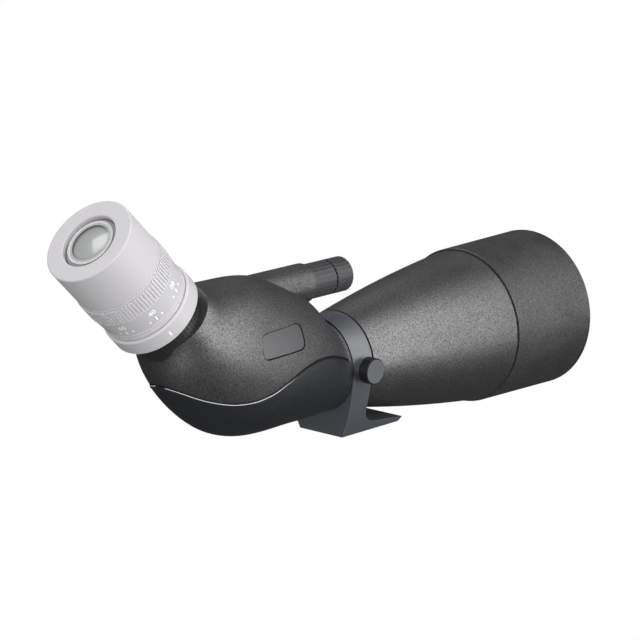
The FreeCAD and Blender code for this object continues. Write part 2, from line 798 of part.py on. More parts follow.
def build_housing():
    inner = housing_form("housing_inner", size.housing_wall)
    outer = housing_form("housing_outer", ZERO)
    swollen = housing_form("cover_outer", -size.cover_proud)
    recess_top = housing_form("plate_top", size.plate_recess)
    recessed = housing_form("plate_seat", size.plate_recess + size.plate_thickness)
    below = seam_block()
    recess = plate_block("plate_recess_outline", ZERO)
    plate = plate_block("plate_outline", size.plate_gap)
    mouth_bore = on_eyepiece_rod("mouth_bore", spigot_radius + size.seat_clearance,
                                 -size.mouth_depth - size.socket_spigot,
                                 size.socket_spigot)
    mouth_slab = on_eyepiece_rod("mouth_slab", block_reach,
                                 -size.mouth_depth - size.mouth_wall, size.mouth_wall)
    mouth_limit = housing_form("mouth_limit", size.housing_wall / 2)
    mouth_wall = cut("mouth_wall", common("mouth_disc", mouth_limit, mouth_slab),
                     mouth_bore)
    mouth_cut = on_eyepiece_rod("mouth_cut", block_reach, -size.mouth_depth, block_reach)
    tube_rear_x = size.focus_tube_front_x - size.focus_tube_length
    front_cut = block("housing_front_cut", block_reach, block_reach * 2, block_reach * 2,
                      housing_front_x, -block_reach, size.axis_height - block_reach)
    tube = rod("focus_tube", size.focus_tube_radius, size.focus_tube_length, tube_rear_x,
               ZERO, focus_z)
    tube_bore = rod("focus_tube_hole", size.focus_tube_bore, size.focus_tube_length,
                    tube_rear_x, ZERO, focus_z)
    flange = revolved("housing_flange", ring(
        flange_rear_x, size.flange_thickness, size.track_radius + size.seat_clearance,
        flange_outer))
    neck_hole = rod("neck_hole", size.track_radius + size.seat_clearance, block_reach,
                    -block_reach, ZERO, size.axis_height)
    shell = cut("housing_shell", fuse("housing_mass", outer, tube), inner)
    bored = cut("housing_bored", fuse("housing_flanged", shell, flange),
                fuse("housing_tools", tube_bore, neck_hole))
    trimmed = cut("housing_trimmed", bored,
                  fuse("housing_ends", front_cut, mouth_cut, mouth_bore))
    pocket = cut("plate_pocket", recess, recessed)
    flange_room = rod("flange_room", flange_outer + size.seat_clearance,
                      size.flange_thickness * 2, flange_rear_x, ZERO, size.axis_height)
    cover_space = cut("cover_space", below, flange_room)
    upper = fuse("housing_walled", cut("housing_upper", trimmed, cover_space), mouth_wall)
    keep(cut("prism_housing", upper, pocket), "prism_housing")
    cover_skin = cut("cover_skin", cut("cover_shell", swollen, inner),
                     fuse("cover_ends", front_cut, mouth_cut, mouth_bore, mouth_wall))
    keep(common("lower_cover", cover_skin, cover_space), "lower_cover")
    keep(common("name_plate", cut("plate_skin", recess_top, recessed), plate), "name_plate")


# -------------------------------------------------------------------------- focus drive

focus_z = size.axis_height + size.focus_rise
coarse_rear_x = size.focus_tube_front_x + size.knob_gap
coarse_front_x = coarse_rear_x + size.coarse_length
fine_rear_x = coarse_front_x + size.knob_gap
fine_front_x = fine_rear_x + size.fine_length
shaft_hole = size.fine_shaft_radius + size.running_clearance
screw_rear_x = coarse_rear_x - size.lead_screw_length
screw_hole = size.lead_screw_radius + size.running_clearance


def knob(name, start, length, hole, solid_front):
    """A turned core with a ribbed rubber grip pushed over it."""
    front = start + length
    outline = [(start, hole), (front - size.knob_cap, hole)]
    if solid_front:
        outline += [(front - size.knob_cap, 0), (front, 0)]
    else:
        outline += [(front, hole)]
    keep(revolved(name + "_core", outline + [
        (front, size.knob_core_radius), (start, size.knob_core_radius)],
        seat=on_focus_axis), name + "_core")
    chamfer = size.knob_rib_depth
    grip = revolved(name + "_grip", [
        (start, size.knob_core_radius + size.seat_clearance),
        (front, size.knob_core_radius + size.seat_clearance),
        (front, size.knob_radius - chamfer), (front - chamfer, size.knob_radius),
        (start, size.knob_radius)], seat=on_focus_axis)
    document.recompute()
    keep(grooved(grip, size.knob_rib_count, size.knob_rib_groove, size.knob_rib_depth,
                 size.knob_radius), name + "_grip")


def build_focus_knobs():
    knob("coarse_knob", coarse_rear_x, size.coarse_length, shaft_hole, False)
    knob("fine_knob", fine_rear_x, size.fine_length, size.fine_shaft_radius, True)
    keep(revolved("lead_screw", ring(
        screw_rear_x, size.lead_screw_length - size.seat_clearance, shaft_hole,
        size.lead_screw_radius), seat=on_focus_axis), "lead_screw")
    keep(rod("fine_shaft", size.fine_shaft_radius - size.seat_clearance,
             fine_front_x - size.knob_cap - screw_rear_x, screw_rear_x, ZERO, focus_z),
         "fine_shaft")
    keep(revolved("focus_bushing", ring(
        size.focus_tube_front_x - size.bushing_length, size.bushing_length, screw_hole,
        size.focus_tube_bore - size.seat_clearance), seat=on_focus_axis), "focus_bushing")


def build_carriage():
    start = size.carriage_x - size.carriage_length / 2
    reach = size.carriage_length
    cell = rod("carriage_cell", size.carriage_cell_radius, reach, start, ZERO,
               size.axis_height)
    nut = rod("carriage_nut", size.carriage_nut_radius, reach, start, ZERO, focus_z)
    arm = block("carriage_arm", reach, size.carriage_arm_half_width * 2, size.focus_rise,
                start, -size.carriage_arm_half_width, size.axis_height)
    ear = size.rod_offset + size.rod_radius + size.rod_ear_height / 2
    ears = block("carriage_ears", reach, ear * 2, size.rod_ear_height * 2, start, -ear,
                 size.axis_height - size.rod_ear_height)
    holes = [
        rod("carriage_bore", size.focus_lens_radius + size.seat_clearance, reach, start,
            ZERO, size.axis_height),
        rod("carriage_thread", screw_hole, reach, start, ZERO, focus_z)]
    for side in (-1, 1):
        holes.append(rod(f"carriage_rod_hole_{side + 2}",
                         size.rod_radius + size.running_clearance, reach, start,
                         size.rod_offset * side, size.axis_height))
    keep(cut("focus_carriage", fuse("carriage_blank", cell, nut, arm, ears),
             fuse("carriage_holes", *holes)), "focus_carriage")
    edge = size.focus_lens_edge / 2
    bulge = lens_bulge(size.focus_lens_radius, size.focus_lens_curve)
    keep(revolved("focusing_lens", [
        (size.carriage_x - edge, 0), (size.carriage_x + edge + bulge, 0),
        (size.carriage_x + edge, size.focus_lens_radius),
        (size.carriage_x - edge, size.focus_lens_radius)],
        {1: (size.focus_lens_curve, -1)}), "focusing_lens")


# ------------------------------------------------------------------ bulkhead and prism

crossing_x = rim_x + (rim_z - size.axis_height)
prism_front_x = crossing_x + size.prism_reach * (math.sqrt(2) - 1)
bulkhead_rear_x = prism_front_x + size.mask_thickness
bulkhead_front_x = bulkhead_rear_x + size.bulkhead_thickness
apex_z = size.axis_height + size.prism_reach
roof_angle = size.roof_half_angle.value


def on_prism_face(thing):
    """Seat a piece with its X axis down the middle of the prism's wedge."""
    return place(thing, prism_front_x, ZERO, apex_z, Vector(0, 1, 0), 90 + roof_angle)


def build_prism():
    slope = math.tan(math.radians(roof_angle))
    depth = size.prism_reach / math.sin(math.radians(roof_angle))
    shoulder = depth - size.prism_corner
    half = shoulder * slope
    wedge = padded("roof_prism", "XZ_Plane", [
        (0, 0), (shoulder, -half), (depth, size.prism_corner - half),
        (depth, half - size.prism_corner), (shoulder, half)], size.prism_half_width * 2)
    keep(on_prism_face(wedge), "roof_prism")
    keep(revolved("prism_mask", ring(
        prism_front_x, size.mask_thickness - size.seat_clearance, size.mask_opening,
        size.prism_half_width - size.seat_clearance)), "prism_mask")
    cheeks = []
    tall = size.cheek_height
    for side in (-1, 1):
        inside = size.prism_half_width + size.seat_clearance
        start_y = inside if side > 0 else -inside - size.cheek_thickness
        cheeks.append(block(f"cheek_{side + 2}", size.cheek_length, size.cheek_thickness, tall,
                            bulkhead_rear_x - size.cheek_length - size.seat_clearance,
                            start_y, size.axis_height - tall / 2))
    holes = []
    screws = []
    for number, (y, z) in enumerate(cheek_screw_spots()):
        holes.append(rod(f"cheek_hole_{number}", size.cheek_screw_radius + size.seat_clearance,
                         size.cheek_screw_length,
                         bulkhead_front_x - size.cheek_screw_length, y, z))
        screws.append(build_cheek_screw(f"cheek_screw_{number}", y, z))
    bored = fuse("cheek_screw_holes", *holes)
    keep(cut("prism_cheeks", group("cheek_blanks", cheeks), bored), "prism_cheeks")
    keep(group("cheek_screws", screws), "cheek_screws")
    return bored


def cheek_screw_spots():
    middle = size.prism_half_width + size.seat_clearance + size.cheek_thickness / 2
    return [(middle * side, size.axis_height + size.cheek_screw_level * level)
            for side in (-1, 1) for level in (-1, 1)]


def build_cheek_screw(name, y, z):
    """A screw through the bulkhead into a cheek, with its head on the front."""
    shank = rod(name + "_shank", size.cheek_screw_radius, size.cheek_screw_length,
                bulkhead_front_x - size.cheek_screw_length, y, z)
    head = rod(name + "_head", size.cheek_screw_head, size.cheek_screw_radius,
               bulkhead_front_x, y, z)
    return fuse(name, shank, head)


def build_bulkhead(screw_holes):
    drawn_in = housing_form("bulkhead_limit", size.housing_wall + size.bulkhead_clearance)
    slab = block("bulkhead_slab", size.bulkhead_thickness, block_reach * 2, block_reach * 2,
                 bulkhead_rear_x, -block_reach, size.axis_height - block_reach)
    reach = size.bulkhead_thickness
    holes = [
        rod("bulkhead_window", size.bulkhead_aperture, reach, bulkhead_rear_x, ZERO,
            size.axis_height),
        rod("bulkhead_screw_hole", screw_hole, reach, bulkhead_rear_x, ZERO, focus_z)]
    for side in (-1, 1):
        holes.append(rod(f"bulkhead_rod_hole_{side + 2}",
                         size.rod_radius + size.seat_clearance, reach, bulkhead_rear_x,
                         size.rod_offset * side, size.axis_height))
    keep(cut("prism_bulkhead", common("bulkhead_plate", slab, drawn_in),
             fuse("bulkhead_holes", *holes, screw_holes)), "prism_bulkhead")
    rods = []
    for side in (-1, 1):
        rods.append(rod(f"guide_rod_{side + 2}", size.rod_radius,
                        size.neck_rear_x - bulkhead_rear_x, bulkhead_rear_x,
                        size.rod_offset * side, size.axis_height))
    keep(group("focus_guide_rods", rods), "focus_guide_rods")


# ---------------------------------------------------------------------------- eyepiece

flange_start = size.socket_length
groove_start = flange_start + size.flange_length
scale_start = groove_start + size.groove_length + size.zoom_gap
grip_start = scale_start + size.scale_length
grip_end = grip_start + size.grip_length
line_start = grip_end + size.zoom_gap
eyecup_start = line_start + size.line_ring_length + size.zoom_gap
eyecup_end = eyecup_start + size.eyecup_length
tube_bore = size.tube_radius - size.tube_wall
sleeve_bore = size.tube_radius + size.running_clearance
cam_radius = tube_bore - size.running_clearance
cam_bore = cam_radius - size.cam_tube_wall
grip_seat = size.eyepiece_radius - size.grip_thickness
pin_station = grip_start + size.grip_length / 4
spigot_radius = sleeve_bore + size.socket_wall


def on_eyepiece_axis(thing):
    """Seat a turned piece so that its X axis runs out of the rim along the eyepiece."""
    return place(thing, rim_x, ZERO, rim_z, Vector(0, 1, 0),
                 size.bend_angle.value - 180)


def on_eyepiece_rod(name, radius, start, length):
    """A plain cylinder that starts at a station along the eyepiece."""
    bar = document.addObject("Part::Cylinder", name)
    bind(bar, "Radius", radius)
    bind(bar, "Height", length)
    lean = sine(size.bend_angle)
    return place(bar, rim_x - lean * start, ZERO, rim_z + cosine(size.bend_angle) * start,
                 Vector(0, 1, 0), -size.bend_angle.value)


def build_socket():
    spigot_end = -size.mouth_depth - size.socket_spigot
    socket = revolved("eyepiece_socket", [
        (spigot_end, sleeve_bore), (size.socket_length, sleeve_bore),
        (size.socket_length, size.socket_radius), (-size.mouth_depth, size.socket_radius),
        (-size.mouth_depth, spigot_radius), (spigot_end, spigot_radius)],
        seat=on_eyepiece_axis)
    document.recompute()
    keep(grooved(socket, size.socket_rib_count, size.socket_rib_groove,
                 size.socket_rib_depth, size.socket_radius), "eyepiece_socket")


def build_eyepiece_tube():
    middle = groove_start + size.groove_length / 2
    outline = [
        (-size.tube_lower_end, tube_bore), (size.eye_cell_start, tube_bore),
        (size.eye_cell_start, size.tube_radius),
        (groove_start + size.groove_length, size.tube_radius),
        (groove_start + size.groove_length, size.scale_rear_radius),
        (middle, size.scale_rear_radius), (middle, size.scale_rear_radius - size.groove_depth),
        (groove_start, size.scale_rear_radius - size.groove_depth),
        (groove_start, size.eyepiece_radius - size.groove_depth),
        (groove_start - size.groove_depth, size.eyepiece_radius),
        (flange_start + size.groove_depth, size.eyepiece_radius),
        (flange_start, size.eyepiece_radius - size.groove_depth),
        (flange_start, size.tube_radius), (-size.tube_lower_end, size.tube_radius)]
    body = revolved("eyepiece_tube", outline, seat=on_eyepiece_axis)
    document.recompute()
    plain = body.Shape.Volume
    half_slot = size.drive_pin_radius + size.running_clearance
    slot = body.newObject("PartDesign::Groove", "eyepiece_tube_slot")
    slot.Profile = closed_sketch(body, "slot_outline", "XZ_Plane", [
        (pin_station - half_slot, cam_bore), (pin_station + half_slot, cam_bore),
        (pin_station + half_slot, grip_seat), (pin_station - half_slot, grip_seat)])
    slot.ReferenceAxis = (slot.Profile[0], ["H_Axis"])
    slot.Midplane = True
    slot_turn = (size.zoom_turn + size.slot_overrun) * 2
    slot.Angle = slot_turn.value
    bind(slot, "Angle", slot_turn)
    body.Tip = slot
    document.recompute()
    if body.Shape.Volume >= plain:
        raise RuntimeError("eyepiece_tube: slot cuts nothing")
    keep(body, "eyepiece_tube")
    keep(revolved("eyepiece_line_ring", ring(
        line_start, size.line_ring_length, size.tube_radius + size.seat_clearance,
        size.line_ring_radius), seat=on_eyepiece_axis), "eyepiece_line_ring")


def lens(name, start, edge, radius, curve):
    """A lens that is flat below and domed outward."""
    bulge = lens_bulge(radius, curve)
    keep(revolved(name, [
        (start, 0), (start + edge + bulge, 0), (start + edge, radius), (start, radius)],
        {1: (curve, -1)}, on_eyepiece_axis), name)


def build_eyepiece_optics():
    lens_fit = tube_bore - size.seat_clearance
    lens("eyepiece_field_lens", -size.tube_lower_end + size.groove_length,
         size.field_lens_edge, lens_fit, size.field_lens_curve)
    keep(revolved("field_stop", ring(
        size.field_stop_x, size.field_stop_length, size.field_stop_opening, lens_fit),
        seat=on_eyepiece_axis), "field_stop")
    seat = size.eye_cell_front - size.eye_ring_length - size.eye_lens_edge
    pocket = size.eye_lens_radius + size.seat_clearance
    keep(revolved("eye_lens_cell", [
        (size.eye_cell_start + size.seat_clearance, size.eye_cell_bore),
        (seat, size.eye_cell_bore), (seat, pocket), (size.eye_cell_front, pocket),
        (size.eye_cell_front, size.eye_nose_rim),
        (size.eye_cell_front - size.eye_nose_step, size.eye_nose_rim),
        (size.eye_cell_front - size.eye_nose_step * 2, size.eye_nose_radius),
        (size.eye_cell_shoulder, size.eye_nose_radius),
        (size.eye_cell_shoulder, size.eye_cell_radius),
        (size.eye_cell_start + size.seat_clearance, size.eye_cell_radius)],
        seat=on_eyepiece_axis), "eye_lens_cell")
    lens("eye_lens", seat, size.eye_lens_edge, size.eye_lens_radius, size.eye_lens_curve)
    keep(revolved("eye_lens_ring", [
        (seat + size.eye_lens_edge + size.seat_clearance,
         size.eye_lens_radius - size.seat_clearance),
        (size.eye_cell_front, size.eye_lens_radius - size.eye_ring_length),
        (size.eye_cell_front, size.eye_lens_radius)],
        seat=on_eyepiece_axis), "eye_lens_ring")


def build_zoom_ring():
    band_end = scale_start + size.scale_band
    line_floor = size.scale_rear_radius - size.scale_line_depth
    keep(revolved("zoom_scale_ring", [
        (scale_start, sleeve_bore), (grip_end, sleeve_bore), (grip_end, grip_seat),
        (grip_start, grip_seat), (grip_start, size.scale_front_radius),
        (band_end + size.scale_line_width, size.scale_rear_radius),
        (band_end + size.scale_line_width, line_floor), (band_end, line_floor),
        (band_end, size.scale_rear_radius), (scale_start, size.scale_rear_radius)],
        seat=on_eyepiece_axis), "zoom_scale_ring")
    grip = revolved("zoom_grip", [
        (grip_start + size.seat_clearance, grip_seat + size.seat_clearance),
        (grip_end, grip_seat + size.seat_clearance), (grip_end, size.eyepiece_radius),
        (grip_start + size.seat_clearance, size.eyepiece_radius)], seat=on_eyepiece_axis)
    document.recompute()
    keep(grooved(grip, size.grip_rib_count, size.grip_rib_groove, size.grip_rib_depth,
                 size.eyepiece_radius), "zoom_grip")
    keep(revolved("zoom_cam_tube", ring(
        size.cam_tube_start, size.cam_tube_length, cam_bore, cam_radius),
        seat=on_eyepiece_axis), "zoom_cam_tube")
    pin_length = size.tube_wall + size.running_clearance * 2 - size.seat_clearance * 2
    pin = rod("drive_pin", size.drive_pin_radius, pin_length, along="z")
    tilt = size.bend_angle.value - 180
    seat_radius = cam_radius + size.seat_clearance
    lean = sine(size.bend_angle)
    place(pin, rim_x - lean * (pin_station + seat_radius), ZERO,
          rim_z + lean * (pin_station - seat_radius), Vector(0, 1, 0), tilt)
    keep(pin, "zoom_drive_pin")


def build_zoom_group(name, start):
    """A lens in the cell that slides inside the cam tube."""
    outer = cam_bore - size.running_clearance
    radius = outer - size.group_wall
    keep(revolved(name + "_cell", ring(
        start, size.group_length, radius + size.seat_clearance, outer),
        seat=on_eyepiece_axis), name + "_cell")
    lens(name + "_lens", start + size.group_wall / 2, size.group_wall, radius,
         size.group_curve)


def build_eyecup():
    guide_outer = sleeve_bore + size.guide_thickness
    sleeve_inner = guide_outer + size.running_clearance
    sleeve_outer = sleeve_inner + size.sleeve_thickness
    guide_start = eyecup_start + size.guide_start
    keep(revolved("eyecup_guide_ring", ring(
        guide_start, size.guide_length, sleeve_bore, guide_outer),
        seat=on_eyepiece_axis), "eyecup_guide_ring")
    lip_start = eyecup_end - size.eyecup_lip
    keep(revolved("eyecup_sleeve", ring(
        eyecup_start, lip_start - size.seat_clearance - eyecup_start, sleeve_inner,
        sleeve_outer), seat=on_eyepiece_axis), "eyecup_sleeve")
    round_off = size.eyecup_round
    keep(revolved("eyecup", [
        (eyecup_start, sleeve_outer + size.seat_clearance),
        (lip_start, sleeve_outer + size.seat_clearance), (lip_start, size.eyecup_opening),
        (eyecup_end - round_off, size.eyecup_opening),
        (eyecup_end, size.eyecup_opening + round_off),
        (eyecup_end, size.eyecup_radius - round_off),
        (eyecup_end - round_off, size.eyecup_radius),
        (eyecup_start, size.eyecup_radius)],
        {3: (round_off, -1), 5: (round_off, -1)}, on_eyepiece_axis), "eyecup")


build_collar()
build_thread_insert()
build_liner()
build_lock_shoe()
build_lock_knob()
build_barrel()
build_neck_nut()
build_baffles()
build_objective_cell()
build_objective_lenses()
build_friction_rings()
build_hood()
build_housing()
build_focus_knobs()
build_carriage()
build_bulkhead(build_prism())
build_socket()
build_eyepiece_tube()
build_eyepiece_optics()
build_zoom_ring()
build_zoom_group("zoom_rear_group", size.rear_group_x)
build_zoom_group("zoom_front_group", size.front_group_x)
build_eyecup()

document.recompute()
for thing in document.Objects:
    if "Invalid" in thing.State or "Error" in thing.State:
        raise RuntimeError(f"{thing.Name} failed: {thing.State}")
os.makedirs("parts", exist_ok=True)
for node in nodes:
    if node.Shape.isNull() or not node.Shape.isValid():
        raise RuntimeError(f"{node.Label} has no valid shape")
for node in nodes:
    node.Shape.exportStep(f"parts/{node.Label}.step")
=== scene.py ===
import json
import math

import bmesh
import bpy
from mathutils import Matrix, Vector
from mathutils.bvhtree import BVHTree
from mathutils.geometry import convex_hull_2d


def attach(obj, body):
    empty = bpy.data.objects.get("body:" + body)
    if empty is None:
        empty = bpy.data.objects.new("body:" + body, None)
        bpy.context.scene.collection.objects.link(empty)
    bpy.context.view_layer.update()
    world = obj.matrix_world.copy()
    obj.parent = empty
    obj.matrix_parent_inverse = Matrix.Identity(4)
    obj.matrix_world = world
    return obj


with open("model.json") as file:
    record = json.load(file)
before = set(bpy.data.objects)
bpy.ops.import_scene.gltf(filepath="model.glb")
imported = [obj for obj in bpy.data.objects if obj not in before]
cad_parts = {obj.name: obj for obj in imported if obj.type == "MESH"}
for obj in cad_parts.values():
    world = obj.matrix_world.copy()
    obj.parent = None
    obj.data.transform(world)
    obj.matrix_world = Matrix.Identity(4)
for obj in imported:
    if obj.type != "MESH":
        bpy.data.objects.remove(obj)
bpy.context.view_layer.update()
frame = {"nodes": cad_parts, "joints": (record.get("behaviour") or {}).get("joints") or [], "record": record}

MM = 0.001
nodes = frame["nodes"]
joints = {joint["name"]: joint for joint in frame["joints"]}


# ------------------------------------------------------------------------- materials

# Refractive index of the dark finishes.
SHINE = 1.8
PALE = (0.395, 0.386, 0.397)
# Sockets of a Mix node that blends colours, which share their names with others.
MIX_FACTOR, MIX_LOW, MIX_HIGH, MIX_RESULT = 0, 6, 7, 2


class Surface:
    """A node material on object coordinates, with a Principled shader at its end."""

    def __init__(self, name, colour, roughness, specular=0.5, metallic=0.0, ior=1.5):
        self.material = bpy.data.materials.new(name)
        self.material.use_nodes = True
        self.tree = self.material.node_tree
        self.shader = self.tree.nodes["Principled BSDF"]
        self.colour = colour
        self.roughness = roughness
        self.set("Base Color", (*colour, 1.0))
        self.set("Roughness", roughness)
        self.set("Specular IOR Level", specular)
        self.set("Metallic", metallic)
        self.set("IOR", ior)
        self.place = self.node("ShaderNodeTexCoord")

    def set(self, socket, value):
        self.shader.inputs[socket].default_value = value
        return self

    def node(self, kind, **values):
        made = self.tree.nodes.new(kind)
        for name, value in values.items():
            if name in made.inputs:
                made.inputs[name].default_value = value
            else:
                setattr(made, name, value)
        return made

    def link(self, output, target):
        self.tree.links.new(output, target)

    def noise(self, scale, detail=2.0, rough=0.5, stretch=(1, 1, 1)):
        mapping = self.node("ShaderNodeMapping")
        mapping.inputs["Scale"].default_value = stretch
        self.link(self.place.outputs["Object"], mapping.inputs["Vector"])
        cloud = self.node("ShaderNodeTexNoise", Scale=scale, Detail=detail, Roughness=rough)
        self.link(mapping.outputs["Vector"], cloud.inputs["Vector"])
        return cloud.outputs["Fac"]

    def ramp(self, value, low, high, start=0.3, end=0.7):
        made = self.node("ShaderNodeMapRange")
        made.inputs["From Min"].default_value = start
        made.inputs["From Max"].default_value = end
        made.inputs["To Min"].default_value = low
        made.inputs["To Max"].default_value = high
        self.link(value, made.inputs["Value"])
        return made.outputs["Result"]

    def shade(self, gain):
        return [min(channel * gain, 1.0) for channel in self.colour]

    def mix_colour(self, factor, low, high):
        """Blend the base colour, as it is so far, towards another one."""
        mix = self.node("ShaderNodeMix", data_type="RGBA")
        mix.inputs[MIX_LOW].default_value = (*low, 1.0)
        mix.inputs[MIX_HIGH].default_value = (*high, 1.0)
        self.link(factor, mix.inputs[MIX_FACTOR])
        base = self.shader.inputs["Base Color"]
        if base.links:
            self.link(base.links[0].from_socket, mix.inputs[MIX_LOW])
        self.link(mix.outputs[MIX_RESULT], base)
        return self

    def vary_colour(self, value, low, high):
        """Shade the base colour between two multiples of itself."""
        return self.mix_colour(value, self.shade(low), self.shade(high))

    def vary_roughness(self, value, spread):
        low = max(self.roughness - spread, 0.02)
        high = min(self.roughness + spread, 1.0)
        self.link(self.ramp(value, low, high), self.shader.inputs["Roughness"])
        return self

    def vary_specular(self, value, spread):
        level = self.shader.inputs["Specular IOR Level"].default_value
        self.link(self.ramp(value, level * (1 - spread), level * (1 + spread), 0.0, 1.0),
                  self.shader.inputs["Specular IOR Level"])
        return self

    def paint_edge_highlights(self, radius, gain):
        """Painted highlight: lighten the colour within a small radius of the object's sharp edges."""
        rounded = self.node("ShaderNodeBevel", samples=4, Radius=radius)
        flat = self.node("ShaderNodeNewGeometry")
        match = self.node("ShaderNodeVectorMath", operation="DOT_PRODUCT")
        self.link(rounded.outputs["Normal"], match.inputs[0])
        self.link(flat.outputs["Normal"], match.inputs[1])
        edge = self.ramp(match.outputs["Value"], 1.0, 0.0, 0.80, 0.99)
        return self.mix_colour(edge, self.colour, self.shade(gain))

    def bump(self, value, depth, strength=1.0):
        made = self.node("ShaderNodeBump", Strength=strength, Distance=depth)
        self.link(value, made.inputs["Height"])
        self.link(made.outputs["Normal"], self.shader.inputs["Normal"])
        return self


def armour():
    """Rubber armour with a fine pebbled grain that glints where the light is strong."""
    made = Surface("armour", (0.0100, 0.0094, 0.0118), 0.47, 1.0, ior=SHINE)
    grain = made.noise(1050.0, 3.0, 0.62)
    made.vary_colour(made.ramp(grain, 0.0, 1.0, 0.35, 0.68), 0.6, 1.6)
    made.vary_specular(made.ramp(made.noise(1300.0, 2.0, 0.6), 0.0, 1.0, 0.36, 0.66), 0.45)
    made.vary_roughness(made.noise(60.0, 2.0), 0.04)
    made.bump(grain, 0.09 * MM, 0.7)
    return made.material


def satin_cover():
    made = Surface("cover_satin", (0.0026, 0.0038, 0.0085), 0.45, 0.75, ior=SHINE)
    made.vary_colour(made.noise(45.0, 3.0), 0.9, 1.15)
    made.vary_roughness(made.noise(300.0, 2.0), 0.03)
    made.bump(made.noise(2600.0, 2.0), 0.02 * MM, 0.4)
    return made.material


def collar_paint():
    made = Surface("collar_paint", (0.042, 0.046, 0.056), 0.42, 0.8, ior=SHINE)
    made.vary_colour(made.noise(70.0, 3.0), 0.92, 1.1)
    # Painted highlight along the collar's sharp edges.
    made.paint_edge_highlights(0.45 * MM, 3.0)
    made.vary_roughness(made.noise(420.0, 2.0), 0.04)
    made.bump(made.noise(3200.0, 2.0), 0.02 * MM, 0.5)
    return made.material


def plain_black(name, roughness, level=0.018, specular=0.4):
    made = Surface(name, (level, level, level * 1.08), roughness, specular, ior=SHINE)
    made.vary_colour(made.noise(200.0, 3.0), 0.8, 1.25)
    made.vary_roughness(made.noise(700.0, 2.0), 0.05)
    made.bump(made.noise(1800.0, 3.0), 0.03 * MM, 0.4)
    return made.material


def knob_rubber():
    made = Surface("knob_rubber", (0.018, 0.0178, 0.021), 0.5, 0.6, ior=SHINE)
    made.vary_colour(made.noise(500.0, 3.0), 0.8, 1.2)
    # Painted highlight along the knob's sharp edges.
    made.paint_edge_highlights(0.35 * MM, 6.0)
    made.bump(made.noise(1500.0, 3.0, 0.6), 0.05 * MM, 0.6)
    return made.material


def cap_grey():
    """Satin grey face with a painted highlight on its rim."""
    made = Surface("cap_grey", (0.062, 0.064, 0.072), 0.42, 0.5, ior=SHINE)
    made.vary_colour(made.noise(250.0, 3.0), 0.92, 1.08)
    made.paint_edge_highlights(0.4 * MM, 2.5)
    made.bump(made.noise(2500.0, 2.0), 0.015 * MM, 0.5)
    return made.material


def plate_grey():
    made = Surface("plate_grey", (0.030, 0.029, 0.033), 0.44, 0.9, ior=SHINE)
    made.vary_colour(made.noise(120.0, 3.0), 0.9, 1.1)
    made.bump(made.noise(2000.0, 2.0), 0.02 * MM, 0.5)
    return made.material


def pale(name, colour, roughness, grain=2200.0, depth=0.015, edge=0.45, gain=2.0):
    made = Surface(name, colour, roughness, 0.5)
    made.vary_colour(made.noise(60.0, 3.0), 0.965, 1.03)
    # Painted highlight along sharp edges, left out when edge is 0.
    if edge:
        made.paint_edge_highlights(edge * MM, gain)
    made.vary_roughness(made.noise(350.0, 2.0), 0.04)
    made.bump(made.noise(grain, 2.0), depth * MM, 0.5)
    return made.material


def metal(name, colour, roughness):
    made = Surface(name, colour, roughness, 0.5, 1.0)
    made.vary_roughness(made.noise(900.0, 3.0), 0.06)
    made.bump(made.noise(1500.0, 2.0, 0.5, (20, 1, 1)), 0.01 * MM, 0.4)
    return made.material


def polymer():
    made = Surface("polymer", (0.50, 0.47, 0.42), 0.4)
    made.vary_colour(made.noise(150.0, 2.0), 0.95, 1.05)
    return made.material


def coated_glass(name, colour, tint, roughness=0.04):
    """Coated lens: a dark body under a clear, tinted reflection."""
    made = Surface(name, colour, roughness, 0.8)
    made.set("Specular Tint", (*tint, 1.0))
    made.set("Coat Weight", 0.6)
    made.set("Coat Roughness", 0.03)
    made.set("Coat Tint", (*tint, 1.0))
    made.vary_colour(made.noise(30.0, 2.0), 0.94, 1.06)
    return made.material


def painted_seam_highlight():
    """Painted highlight for the cover's polished edge, turning to painted shade towards the collar."""
    made = Surface("painted_seam_highlight", (0.40, 0.40, 0.42), 0.35)
    split = made.node("ShaderNodeSeparateXYZ")
    made.link(made.place.outputs["Object"], split.inputs["Vector"])
    # Painted shade: the highlight fades to near black towards the collar.
    made.vary_colour(made.ramp(split.outputs["X"], 1.0, 0.0, -0.092, -0.078), 0.01, 1.0)
    made.vary_roughness(made.noise(400.0, 2.0), 0.06)
    return made.material


MATERIALS = {
    "armour": armour(),
    "cover_satin": satin_cover(),
    "collar_grey": collar_paint(),
    "plate_grey": plate_grey(),
    "knob_black": plain_black("knob_black", 0.36, 0.010),
    "cap_grey": cap_grey(),
    "knob_rubber": knob_rubber(),
    "knob_core": plain_black("knob_core", 0.5, 0.02),
    "felt_rubber": plain_black("felt_rubber", 0.7, 0.02),
    "polymer": polymer(),
    "steel": metal("steel", (0.55, 0.55, 0.56), 0.28),
    "brass": metal("brass", (0.62, 0.47, 0.22), 0.3),
    "black_anodised": plain_black("black_anodised", 0.42, 0.014),
    "glass": coated_glass("coated_glass", (0.012, 0.022, 0.018), (0.55, 1.0, 0.72)),
    "eyepiece_pale": pale("eyepiece_pale", PALE, 0.36),
    "eyepiece_rubber": pale("eyepiece_rubber", PALE, 0.48, 1300.0, 0.03),
    "eyepiece_inner": pale("eyepiece_inner", (0.27, 0.262, 0.272), 0.3, edge=0),
    "painted_seam_highlight": painted_seam_highlight(),
    # Near-black lines painted as shade in grooves and gaps.
    "painted_shade_line": plain_black("painted_shade_line", 0.6, 0.004, 0.1),
    "scale_ink": pale("scale_ink", (0.95, 0.95, 0.95), 0.5),
}

slots = {row["node"]: row["material_slot"] for row in frame["record"]["subparts"]}
for name, thing in nodes.items():
    thing.data.materials.clear()
    thing.data.materials.append(MATERIALS[slots[name]])

eye_glass = coated_glass("eye_glass", (0.27, 0.265, 0.27), (0.93, 1.0, 0.94), 0.22)
nodes["eye_lens"].data.materials[0] = eye_glass


# ---------------------------------------------------------------- seam bead and scale

